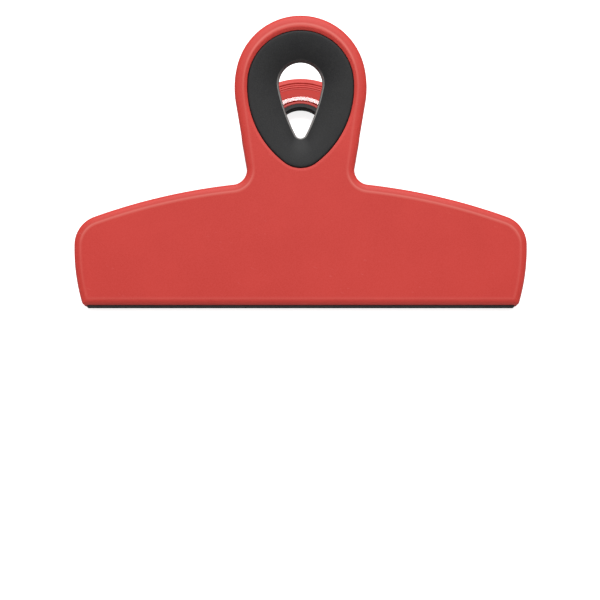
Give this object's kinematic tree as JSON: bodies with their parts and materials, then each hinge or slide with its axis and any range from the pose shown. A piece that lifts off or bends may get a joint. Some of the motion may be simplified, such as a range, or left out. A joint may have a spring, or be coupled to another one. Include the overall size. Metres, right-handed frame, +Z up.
{
  "type": "bag clip",
  "caption": "Wide-jaw spring bag clip: two hinged moulded halves with soft teardrop grips and sealing lips, closed by a torsion spring on a steel pin.",
  "frame": {"origin": "on the flat back face that the clip lies on, under the middle of the jaw, 24 mm from the lip end", "axes": "+X along the jaw, +Y from the jaw's lip to the handles, +Z up out of the back face; the clip lies closed on its back half"},
  "size_m": [0.152, 0.0975, 0.0521],
  "materials": {
    "red_moulding": "fine matt texture",
    "soft_grip": "matt soft-touch rubber",
    "spring_steel": "bright plated wire",
    "pin_steel": "bright drawn steel"
  },
  "bodies": {
    "rear_half": {"rear_shell": "red_moulding", "rear_grip": "soft_grip", "rear_seal": "soft_grip", "hinge_pin": "pin_steel", "pin_washer": "pin_steel", "torsion_spring": "spring_steel"},
    "front_half": {"front_shell": "red_moulding", "front_grip": "soft_grip", "front_seal": "soft_grip"}
  },
  "joints": [
    {"name": "jaw_hinge", "type": "hinge", "parent": "rear_half", "child": "front_half", "pos_m": [0, 0.026, 0.01595], "axis": [-1, 0, 0], "range_deg": [0, 55], "stiffness_Nm_per_rad": 0.28, "springref_deg": -63.03, "deforming": ["torsion_spring"]}
  ]
}
